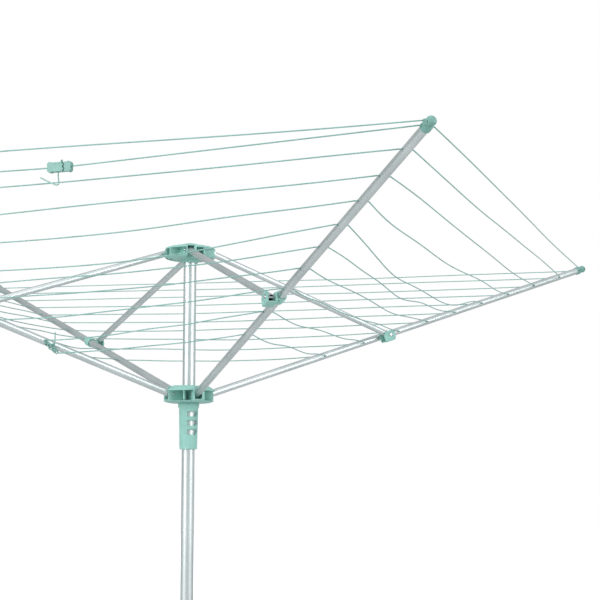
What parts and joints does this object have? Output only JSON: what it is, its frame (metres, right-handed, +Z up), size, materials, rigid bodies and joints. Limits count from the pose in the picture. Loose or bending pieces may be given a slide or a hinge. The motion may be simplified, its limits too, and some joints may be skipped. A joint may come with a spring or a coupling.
{
  "type": "rotary clothesline",
  "caption": "Umbrella clothes airer: folding arms and struts on a mast, line strung round them in a square spiral, in a ground socket.",
  "frame": {"origin": "on the mast axis at ground level, in the plane of the ground socket's flange underside", "axes": "+Z up the mast; arm 1 towards -Y, arm 2 towards +X, arm 3 towards +Y, arm 4 towards -X, each within 6 degrees"},
  "size_m": [2.8772, 2.8731, 2.2087],
  "materials": {
    "mint_plastic": "satin moulded",
    "coated_line": "smooth coated",
    "aluminium_tube": "satin drawn",
    "steel_pins": "plated",
    "socket_plastic": "moulded"
  },
  "bodies": {
    "ground_socket": {"ground_socket": "socket_plastic", "socket_bush": "mint_plastic"},
    "mast": {"mast_tube": "aluminium_tube", "mast_foot_plug": "mint_plastic", "upper_hub": "mint_plastic", "hub_cap": "mint_plastic", "lock_spring": "steel_pins", "strut_pin_1": "steel_pins", "strut_pin_2": "steel_pins", "strut_pin_3": "steel_pins", "strut_pin_4": "steel_pins", "clothes_line_inner": "coated_line", "clothes_line_outer": "coated_line"},
    "lock_button": {"lock_button": "steel_pins"},
    "strut_1": {"strut_tube_1": "aluminium_tube"},
    "strut_2": {"strut_tube_2": "aluminium_tube"},
    "strut_3": {"strut_tube_3": "aluminium_tube"},
    "strut_4": {"strut_tube_4": "aluminium_tube"},
    "arm_1": {"arm_tube_1": "aluminium_tube", "arm_tip_cap_1": "mint_plastic", "arm_bracket_1": "mint_plastic", "bracket_rivet_1": "steel_pins"},
    "arm_2": {"arm_tube_2": "aluminium_tube", "arm_tip_cap_2": "mint_plastic", "arm_bracket_2": "mint_plastic", "bracket_rivet_2": "steel_pins"},
    "arm_3": {"arm_tube_3": "aluminium_tube", "arm_tip_cap_3": "mint_plastic", "arm_bracket_3": "mint_plastic", "bracket_rivet_3": "steel_pins"},
    "arm_4": {"arm_tube_4": "aluminium_tube", "arm_tip_cap_4": "mint_plastic", "arm_bracket_4": "mint_plastic", "bracket_rivet_4": "steel_pins"},
    "runner": {"lower_hub": "mint_plastic", "tension_sleeve": "mint_plastic", "arm_root_pin_1": "steel_pins", "arm_root_pin_2": "steel_pins", "arm_root_pin_3": "steel_pins", "arm_root_pin_4": "steel_pins"},
    "tensioner": {"line_tensioner": "mint_plastic", "line_tail": "coated_line"}
  },
  "joints": [
    {"name": "mast_spin", "type": "hinge", "parent": "ground_socket", "child": "mast", "pos_m": [0, 0, 0], "axis": [0, 0, 1], "continuous": true},
    {"name": "lock_press", "type": "slide", "parent": "mast", "child": "lock_button", "axis": [-0.866, 0.5, 0], "range_m": [0, 0.0045], "stiffness_N_per_m": 800, "springref_m": -0.004, "deforming": ["lock_spring"]},
    {"name": "fold", "type": "hinge", "parent": "mast", "child": "strut_1", "pos_m": [-0.02487, -0.05147, 1.74438], "axis": [0.9949, -0.1011, 0], "range_deg": [0, 68.7], "deforming": ["clothes_line_inner", "clothes_line_outer"]},
    {"name": "strut_hinge_2", "type": "hinge", "parent": "mast", "child": "strut_2", "pos_m": [0.05505, -0.02498, 1.74438], "axis": [-0.0419, 0.9991, 0], "range_deg": [0, 68.7]},
    {"name": "strut_hinge_3", "type": "hinge", "parent": "mast", "child": "strut_3", "pos_m": [0.02493, 0.05583, 1.74438], "axis": [-0.9973, -0.0732, 0], "range_deg": [0, 68.7]},
    {"name": "strut_hinge_4", "type": "hinge", "parent": "mast", "child": "strut_4", "pos_m": [-0.05622, 0.0249, 1.74438], "axis": [0.0889, -0.996, 0], "range_deg": [0, 68.7]},
    {"name": "arm_hinge_1", "type": "hinge", "parent": "strut_1", "child": "arm_1", "pos_m": [-0.08513, -0.64466, 1.54719], "axis": [0.9949, -0.1011, 0], "range_deg": [-137.4, 0]},
    {"name": "arm_hinge_2", "type": "hinge", "parent": "strut_2", "child": "arm_2", "pos_m": [0.65076, -0.00001, 1.54719], "axis": [-0.0419, 0.9991, 0], "range_deg": [-137.4, 0]},
    {"name": "arm_hinge_3", "type": "hinge", "parent": "strut_3", "child": "arm_3", "pos_m": [-0.01874, 0.65047, 1.54719], "axis": [-0.9973, -0.0732, 0], "range_deg": [-137.4, 0]},
    {"name": "arm_hinge_4", "type": "hinge", "parent": "strut_4", "child": "arm_4", "pos_m": [-0.6501, -0.0281, 1.54719], "axis": [0.0889, -0.996, 0], "range_deg": [-137.4, 0]},
    {"name": "runner_pivot", "type": "hinge", "parent": "arm_1", "child": "runner", "pos_m": [0, -0.054, 1.35], "axis": [0.9949, -0.1011, 0], "range_deg": [0, 68.7]},
    {"name": "tensioner_slide", "type": "slide", "parent": "arm_1", "child": "tensioner", "axis": [0.7431, -0.6691, 0.0122], "range_m": [0, 0.66411]}
  ],
  "couplings": [
    {"joint": "strut_hinge_2", "follows": "fold", "ratio": 1},
    {"joint": "strut_hinge_3", "follows": "fold", "ratio": 1},
    {"joint": "strut_hinge_4", "follows": "fold", "ratio": 1},
    {"joint": "arm_hinge_1", "follows": "fold", "ratio": -2},
    {"joint": "arm_hinge_2", "follows": "fold", "ratio": -2},
    {"joint": "arm_hinge_3", "follows": "fold", "ratio": -2},
    {"joint": "arm_hinge_4", "follows": "fold", "ratio": -2},
    {"joint": "runner_pivot", "follows": "fold", "ratio": 1},
    {"joint": "tensioner_slide", "follows": "fold", "m_per_rad": 0.55386}
  ]
}
